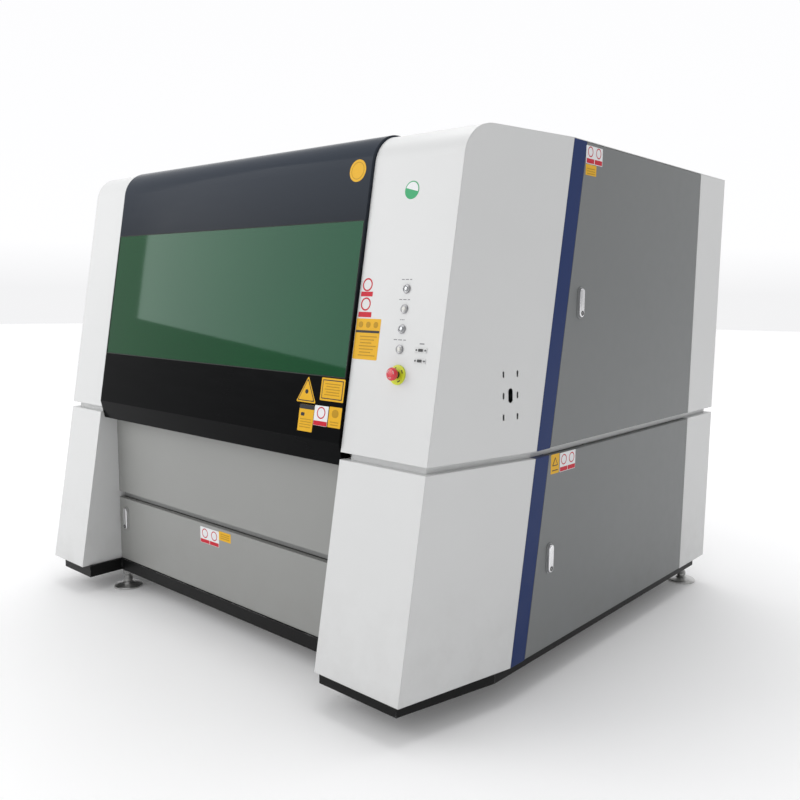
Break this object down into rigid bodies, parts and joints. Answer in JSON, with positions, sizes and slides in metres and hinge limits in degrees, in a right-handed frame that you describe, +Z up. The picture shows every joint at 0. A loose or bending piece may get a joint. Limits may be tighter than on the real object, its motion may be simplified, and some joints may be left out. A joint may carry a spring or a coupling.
{
  "type": "enclosed fibre laser cutting machine",
  "caption": "Fully enclosed flatbed fibre laser cutter: leaning front, lift-up hood with green window, service doors, gantry over a slatted table, control column.",
  "frame": {"origin": "on the floor, at the centre of the bounding box's footprint", "axes": "+X to the right seen from the front, +Y to the rear, +Z up"},
  "size_m": [2.27, 2.097, 1.83],
  "materials": {
    "cover_white": "smooth white powder coat, satin",
    "panel_grey": "mid grey powder coat, satin",
    "door_grey": "dark grey powder coat, satin",
    "band_blue": "deep blue powder coat, satin",
    "hood_black": "black gloss enamel",
    "window_green": "green laser-safe pane",
    "plinth_black": "black satin paint",
    "frame_grey": "grey machine enamel",
    "roof_white": "smooth white powder coat, satin",
    "galvanised": "zinc-coated sheet",
    "slat_steel": "hot-rolled flat bar, used",
    "tray_steel": "folded sheet, used",
    "rail_steel": "ground steel",
    "beam_aluminium": "clear anodised",
    "head_body": "black anodised, fine grain",
    "laser_case": "dark textured powder coat",
    "cabinet_parts": "plate with drives and supply",
    "hinge_steel": "zinc-plated",
    "latch_chrome": "bright plated zinc",
    "foot_steel": "bright zinc-plated",
    "strut_tube": "black enamel",
    "strut_rod": "hard chrome",
    "bezel_metal": "bright ring",
    "button_steel": "bright metal dome",
    "button_pale": "pale dome",
    "stop_yellow": "yellow ring",
    "stop_red": "red mushroom",
    "stop_stem": "black",
    "port_black": "black",
    "gland_black": "black nylon"
  },
  "bodies": {
    "housing": {"plinth": "plinth_black", "bed_frame": "frame_grey", "enclosure_frame": "frame_grey", "waist_band": "cover_white", "column_cover_upper_right": "cover_white", "column_cover_upper_left": "cover_white", "column_cover_lower_right": "cover_white", "column_cover_lower_left": "cover_white", "side_bands": "band_blue", "rear_corner_right": "cover_white", "rear_corner_left": "cover_white", "roof_panel": "roof_white", "front_panel": "panel_grey", "rear_panel": "door_grey", "chamber_liner": "galvanised", "slat_frame": "frame_grey", "slats": "slat_steel", "slag_tray": "tray_steel", "y_rails": "rail_steel", "laser_source": "laser_case", "electrical_panel": "cabinet_parts", "exhaust_spigot": "galvanised", "cable_gland": "gland_black", "button_bezels": "bezel_metal", "estop_collar": "stop_yellow", "service_ports": "port_black", "hood_hinge_bases": "hinge_steel", "door_hinge_pins": "hinge_steel"},
    "hood": {"hood_shell": "hood_black", "hood_window": "window_green", "hood_hinge_leaves": "hood_black"},
    "strut_cylinder_right_body": {"strut_cylinder_right": "strut_tube"},
    "strut_rod_right_body": {"strut_rod_right": "strut_rod"},
    "strut_cylinder_left_body": {"strut_cylinder_left": "strut_tube"},
    "strut_rod_left_body": {"strut_rod_left": "strut_rod"},
    "door_upper_right_body": {"door_upper_right": "door_grey"},
    "door_upper_left_body": {"door_upper_left": "door_grey"},
    "door_lower_right_body": {"door_lower_right": "door_grey"},
    "door_lower_left_body": {"door_lower_left": "door_grey"},
    "door_front_body": {"door_front": "panel_grey"},
    "door_rear_body": {"door_rear": "door_grey"},
    "latch_upper_right_body": {"latch_upper_right": "latch_chrome"},
    "latch_upper_left_body": {"latch_upper_left": "latch_chrome"},
    "latch_lower_right_body": {"latch_lower_right": "latch_chrome"},
    "latch_lower_left_body": {"latch_lower_left": "latch_chrome"},
    "latch_front_body": {"latch_front": "latch_chrome"},
    "latch_rear_body": {"latch_rear": "latch_chrome"},
    "button_1_body": {"button_1": "button_pale"},
    "button_2_body": {"button_2": "button_steel"},
    "button_3_body": {"button_3": "button_pale"},
    "button_4_body": {"button_4": "button_steel"},
    "estop_stem_body": {"estop_stem": "stop_stem"},
    "estop_cap_body": {"estop_cap": "stop_red"},
    "gantry_beam_body": {"gantry_beam": "beam_aluminium"},
    "carriage_body": {"carriage": "head_body"},
    "cutting_head_body": {"cutting_head": "head_body"},
    "foot_front_left_body": {"foot_front_left": "foot_steel"},
    "foot_front_right_body": {"foot_front_right": "foot_steel"},
    "foot_rear_left_body": {"foot_rear_left": "foot_steel"},
    "foot_rear_right_body": {"foot_rear_right": "foot_steel"}
  },
  "joints": [
    {"name": "hood_swing", "type": "hinge", "parent": "housing", "child": "hood", "pos_m": [0, -0.32223, 1.824], "axis": [-1, 0, 0], "range_deg": [0, 60]},
    {"name": "strut_swing_right", "type": "hinge", "parent": "housing", "child": "strut_cylinder_right_body", "pos_m": [0.653, -0.44223, 1.424], "axis": [-1, 0, 0], "range_deg": [0, 8.78]},
    {"name": "strut_stroke_right", "type": "slide", "parent": "strut_cylinder_right_body", "child": "strut_rod_right_body", "axis": [0, -0.1182, 0.993], "range_m": [0, 0.15154]},
    {"name": "strut_swing_left", "type": "hinge", "parent": "housing", "child": "strut_cylinder_left_body", "pos_m": [-0.76, -0.44223, 1.424], "axis": [-1, 0, 0], "range_deg": [0, 8.78]},
    {"name": "strut_stroke_left", "type": "slide", "parent": "strut_cylinder_left_body", "child": "strut_rod_left_body", "axis": [0, -0.1182, 0.993], "range_m": [0, 0.15154]},
    {"name": "door_swing_upper_right", "type": "hinge", "parent": "housing", "child": "door_upper_right_body", "pos_m": [1.111, 0.6925, 1.286], "axis": [0, 0, 1], "range_deg": [0, 100]},
    {"name": "latch_turn_upper_right", "type": "hinge", "parent": "door_upper_right_body", "child": "latch_upper_right_body", "pos_m": [1.123, -0.24912, 1.2515], "axis": [-1, 0, 0], "range_deg": [0, 90]},
    {"name": "door_swing_upper_left", "type": "hinge", "parent": "housing", "child": "door_upper_left_body", "pos_m": [-1.111, 0.6925, 1.286], "axis": [0, 0, -1], "range_deg": [0, 100]},
    {"name": "latch_turn_upper_left", "type": "hinge", "parent": "door_upper_left_body", "child": "latch_upper_left_body", "pos_m": [-1.123, -0.24912, 1.2515], "axis": [-1, 0, 0], "range_deg": [0, 90]},
    {"name": "door_swing_lower_right", "type": "hinge", "parent": "housing", "child": "door_lower_right_body", "pos_m": [1.111, 0.6925, 0.438], "axis": [0, 0, 1], "range_deg": [0, 100]},
    {"name": "latch_turn_lower_right", "type": "hinge", "parent": "door_lower_right_body", "child": "latch_lower_right_body", "pos_m": [1.123, -0.39243, 0.4035], "axis": [-1, 0, 0], "range_deg": [0, 90]},
    {"name": "door_swing_lower_left", "type": "hinge", "parent": "housing", "child": "door_lower_left_body", "pos_m": [-1.111, 0.6925, 0.438], "axis": [0, 0, -1], "range_deg": [0, 100]},
    {"name": "latch_turn_lower_left", "type": "hinge", "parent": "door_lower_left_body", "child": "latch_lower_left_body", "pos_m": [-1.123, -0.39243, 0.4035], "axis": [-1, 0, 0], "range_deg": [0, 90]},
    {"name": "door_swing_front", "type": "hinge", "parent": "housing", "child": "door_front_body", "pos_m": [0.657, -0.8505, 0.264], "axis": [0, 0, 1], "range_deg": [0, 90]},
    {"name": "latch_turn_front", "type": "hinge", "parent": "door_front_body", "child": "latch_front_body", "pos_m": [-0.732, -0.8625, 0.2795], "axis": [0, 1, 0], "range_deg": [0, 90]},
    {"name": "door_swing_rear", "type": "hinge", "parent": "housing", "child": "door_rear_body", "pos_m": [-0.48, 0.9665, 0.457], "axis": [0, 0, 1], "range_deg": [0, 100]},
    {"name": "latch_turn_rear", "type": "hinge", "parent": "door_rear_body", "child": "latch_rear_body", "pos_m": [0.446, 0.9785, 0.4355], "axis": [0, -1, 0], "range_deg": [0, 90]},
    {"name": "button_press_1", "type": "slide", "parent": "housing", "child": "button_1_body", "axis": [0, 0.986, -0.1666], "range_m": [0, 0.003], "stiffness_N_per_m": 300},
    {"name": "button_press_2", "type": "slide", "parent": "housing", "child": "button_2_body", "axis": [0, 0.986, -0.1666], "range_m": [0, 0.003], "stiffness_N_per_m": 300},
    {"name": "button_press_3", "type": "slide", "parent": "housing", "child": "button_3_body", "axis": [0, 0.986, -0.1666], "range_m": [0, 0.003], "stiffness_N_per_m": 300},
    {"name": "button_press_4", "type": "slide", "parent": "housing", "child": "button_4_body", "axis": [0, 0.986, -0.1666], "range_m": [0, 0.003], "stiffness_N_per_m": 300},
    {"name": "estop_press", "type": "slide", "parent": "housing", "child": "estop_stem_body", "axis": [0, 0.986, -0.1666], "range_m": [0, 0.005]},
    {"name": "estop_twist", "type": "hinge", "parent": "estop_stem_body", "child": "estop_cap_body", "pos_m": [0.879, -0.90835, 1.07333], "axis": [0, 0.986, -0.1666], "range_deg": [0, 30]},
    {"name": "gantry_travel", "type": "slide", "parent": "housing", "child": "gantry_beam_body", "axis": [0, 1, 0], "range_m": [-0.85, 0.03]},
    {"name": "carriage_travel", "type": "slide", "parent": "gantry_beam_body", "child": "carriage_body", "axis": [1, 0, 0], "range_m": [0, 1.27]},
    {"name": "head_travel", "type": "slide", "parent": "carriage_body", "child": "cutting_head_body", "axis": [0, 0, 1], "range_m": [-0.02, 0.08]},
    {"name": "foot_turn_front_left", "type": "hinge", "parent": "housing", "child": "foot_front_left_body", "pos_m": [-0.752, -0.8545, 0.04], "axis": [0, 0, 1], "continuous": true},
    {"name": "foot_turn_front_right", "type": "hinge", "parent": "housing", "child": "foot_front_right_body", "pos_m": [0.645, -0.8545, 0.04], "axis": [0, 0, 1], "continuous": true},
    {"name": "foot_turn_rear_left", "type": "hinge", "parent": "housing", "child": "foot_rear_left_body", "pos_m": [-1.05, 0.9195, 0.04], "axis": [0, 0, 1], "continuous": true},
    {"name": "foot_turn_rear_right", "type": "hinge", "parent": "housing", "child": "foot_rear_right_body", "pos_m": [1.05, 0.9195, 0.04], "axis": [0, 0, 1], "continuous": true}
  ],
  "couplings": [
    {"joint": "strut_swing_right", "follows": "hood_swing", "ratio": 0.14625},
    {"joint": "strut_stroke_right", "follows": "hood_swing", "m_per_rad": 0.14471},
    {"joint": "strut_swing_left", "follows": "hood_swing", "ratio": 0.14625},
    {"joint": "strut_stroke_left", "follows": "hood_swing", "m_per_rad": 0.14471}
  ]
}
